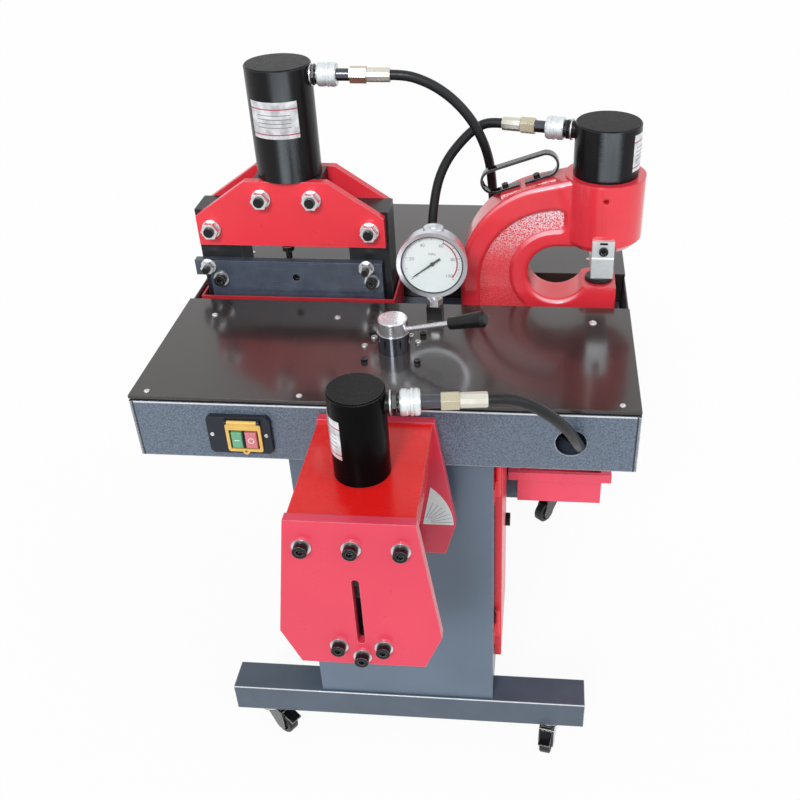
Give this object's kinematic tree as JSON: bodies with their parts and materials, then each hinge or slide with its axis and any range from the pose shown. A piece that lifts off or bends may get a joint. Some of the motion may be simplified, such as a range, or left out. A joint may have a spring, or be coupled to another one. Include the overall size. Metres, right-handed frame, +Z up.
{
  "type": "busbar processing machine",
  "caption": "Hydraulic shop machine on a castored cabinet, with a table that carries a busbar cutter, a C-frame punch and a bender, worked by a hand valve.",
  "frame": {"origin": "middle of the machine on the floor, under the middle of the table", "axes": "+X to the operator's right, +Y to the back of the machine, +Z up"},
  "size_m": [0.733, 0.972, 1.167],
  "materials": {
    "red_paint": "gloss enamel",
    "red_casting": "gloss enamel over a cast skin",
    "graphite_paint": "smooth satin enamel",
    "hammer_paint": "hammered enamel",
    "slate_paint": "smooth satin enamel",
    "black_oxide": "black oxide",
    "black_enamel": "gloss enamel",
    "zinc": "bright zinc plate",
    "bright_steel": "ground",
    "chrome": "polished",
    "hose_rubber": "satin",
    "tyre_rubber": "matt",
    "black_plastic": "satin",
    "yellow_plastic": "gloss",
    "green_plastic": "gloss",
    "red_plastic": "gloss",
    "dial_white": "printed",
    "lens_glass": "clear",
    "tank_paint": "smooth enamel",
    "motor_paint": "painted"
  },
  "bodies": {
    "machine": {"base_frame": "slate_paint", "caster_plates": "black_oxide", "cabinet_shell": "slate_paint", "oil_tank": "tank_paint", "motor": "motor_paint", "pump": "motor_paint", "table_frame": "graphite_paint", "front_cover": "graphite_paint", "front_panel": "hammer_paint", "table_skirt": "hammer_paint", "rear_cover": "graphite_paint", "cutter_tray": "red_paint", "valve_body": "black_oxide", "socket_screws": "black_oxide", "nuts_and_washers": "zinc", "gauge_stand": "black_oxide", "gauge_case": "chrome", "gauge_dial": "dial_white", "gauge_lens": "lens_glass", "switch_box": "black_plastic", "cutter_plates": "red_paint", "cutter_blocks": "black_oxide", "cutter_cylinder": "black_enamel", "cutter_jaw": "black_oxide", "punch_frame": "red_casting", "punch_cylinder": "black_enamel", "punch_die": "black_oxide", "punch_stripper": "zinc", "punch_handle": "black_enamel", "bender_plates": "red_paint", "bender_head": "red_paint", "bender_cylinder": "black_enamel", "bender_die": "bright_steel", "hose_fittings": "zinc", "cutter_hose": "hose_rubber", "punch_hose": "hose_rubber", "bender_hose": "hose_rubber", "cable_gland": "black_plastic"},
    "valve_lever": {"valve_lever": "chrome", "lever_grip": "black_plastic"},
    "cabinet_door": {"cabinet_door": "red_paint"},
    "door_latch": {"door_latch": "black_plastic"},
    "scrap_pan": {"scrap_pan": "red_paint"},
    "gauge_needle": {"gauge_needle": "black_enamel"},
    "switch_flap": {"switch_flap": "yellow_plastic"},
    "start_button": {"start_button": "green_plastic"},
    "stop_button": {"stop_button": "red_plastic"},
    "cutter_ram": {"cutter_ram": "bright_steel"},
    "punch_ram": {"punch_ram": "bright_steel"},
    "bender_ram": {"bender_ram": "bright_steel"},
    "caster_fork_fl": {"caster_fork_fl": "black_oxide"},
    "caster_wheel_fl": {"caster_wheel_fl": "tyre_rubber"},
    "caster_fork_fr": {"caster_fork_fr": "black_oxide"},
    "caster_wheel_fr": {"caster_wheel_fr": "tyre_rubber"},
    "caster_fork_rl": {"caster_fork_rl": "black_oxide"},
    "caster_wheel_rl": {"caster_wheel_rl": "tyre_rubber"},
    "caster_fork_rr": {"caster_fork_rr": "black_oxide"},
    "caster_wheel_rr": {"caster_wheel_rr": "tyre_rubber"},
    "caster_brake_fl": {"caster_brake_fl": "black_oxide"},
    "caster_brake_fr": {"caster_brake_fr": "black_oxide"}
  },
  "joints": [
    {"name": "caster_swivel_fl", "type": "hinge", "parent": "machine", "child": "caster_fork_fl", "pos_m": [-0.26, -0.176, 0.06], "axis": [0, 0, 1], "continuous": true},
    {"name": "caster_roll_fl", "type": "hinge", "parent": "caster_fork_fl", "child": "caster_wheel_fl", "pos_m": [-0.23952, -0.19034, 0.025], "axis": [0.5736, 0.8192, 0], "continuous": true},
    {"name": "caster_pedal_fl", "type": "hinge", "parent": "caster_fork_fl", "child": "caster_brake_fl", "pos_m": [-0.23625, -0.19263, 0.056], "axis": [0.5736, 0.8192, 0], "range_deg": [0, 24]},
    {"name": "caster_swivel_fr", "type": "hinge", "parent": "machine", "child": "caster_fork_fr", "pos_m": [0.26, -0.176, 0.06], "axis": [0, 0, 1], "continuous": true},
    {"name": "caster_roll_fr", "type": "hinge", "parent": "caster_fork_fr", "child": "caster_wheel_fr", "pos_m": [0.25566, -0.20062, 0.025], "axis": [0.9848, -0.1736, 0], "continuous": true},
    {"name": "caster_pedal_fr", "type": "hinge", "parent": "caster_fork_fr", "child": "caster_brake_fr", "pos_m": [0.25496, -0.20456, 0.056], "axis": [0.9848, -0.1736, 0], "range_deg": [0, 24]},
    {"name": "caster_swivel_rl", "type": "hinge", "parent": "machine", "child": "caster_fork_rl", "pos_m": [-0.26, 0.459, 0.06], "axis": [0, 0, 1], "continuous": true},
    {"name": "caster_roll_rl", "type": "hinge", "parent": "caster_fork_rl", "child": "caster_wheel_rl", "pos_m": [-0.23952, 0.44466, 0.025], "axis": [0.5736, 0.8192, 0], "continuous": true},
    {"name": "caster_swivel_rr", "type": "hinge", "parent": "machine", "child": "caster_fork_rr", "pos_m": [0.26, 0.459, 0.06], "axis": [0, 0, 1], "continuous": true},
    {"name": "caster_roll_rr", "type": "hinge", "parent": "caster_fork_rr", "child": "caster_wheel_rr", "pos_m": [0.24393, 0.43985, 0.025], "axis": [0.766, -0.6428, 0], "continuous": true},
    {"name": "door_hinge", "type": "hinge", "parent": "machine", "child": "cabinet_door", "pos_m": [0.1605, -0.1555, 0.45], "axis": [0, 0, -1], "range_deg": [0, 110]},
    {"name": "latch_turn", "type": "hinge", "parent": "cabinet_door", "child": "door_latch", "pos_m": [0.165, 0.003, 0.38], "axis": [-1, 0, 0], "range_deg": [0, 90]},
    {"name": "pan_slide", "type": "slide", "parent": "machine", "child": "scrap_pan", "axis": [1, 0, 0], "range_m": [0, 0.12]},
    {"name": "lever_turn", "type": "hinge", "parent": "machine", "child": "valve_lever", "pos_m": [0, -0.0955, 0.83], "axis": [0, 0, 1], "range_deg": [-100, 45]},
    {"name": "needle_turn", "type": "hinge", "parent": "machine", "child": "gauge_needle", "pos_m": [0.052, -0.012, 0.9], "axis": [0, 1, 0], "range_deg": [0, 260], "stiffness_Nm_per_rad": 0.001},
    {"name": "flap_hinge", "type": "hinge", "parent": "machine", "child": "switch_flap", "pos_m": [-0.1975, -0.2545, 0.7671], "axis": [-1, 0, 0], "range_deg": [0, 100]},
    {"name": "start_press", "type": "slide", "parent": "machine", "child": "start_button", "axis": [0, 1, 0], "range_m": [0, 0.003], "stiffness_N_per_m": 300, "springref_m": -0.002},
    {"name": "stop_press", "type": "slide", "parent": "machine", "child": "stop_button", "axis": [0, 1, 0], "range_m": [0, 0.003], "stiffness_N_per_m": 300, "springref_m": -0.002},
    {"name": "cutter_stroke", "type": "slide", "parent": "machine", "child": "cutter_ram", "axis": [0, 0, -1], "range_m": [0, 0.04], "stiffness_N_per_m": 1500, "springref_m": -0.05},
    {"name": "punch_stroke", "type": "slide", "parent": "machine", "child": "punch_ram", "axis": [0, 0, -1], "range_m": [0, 0.04], "stiffness_N_per_m": 1500, "springref_m": -0.03},
    {"name": "bender_stroke", "type": "slide", "parent": "machine", "child": "bender_ram", "axis": [0, 0, -1], "range_m": [0, 0.065], "stiffness_N_per_m": 1500, "springref_m": -0.06}
  ]
}
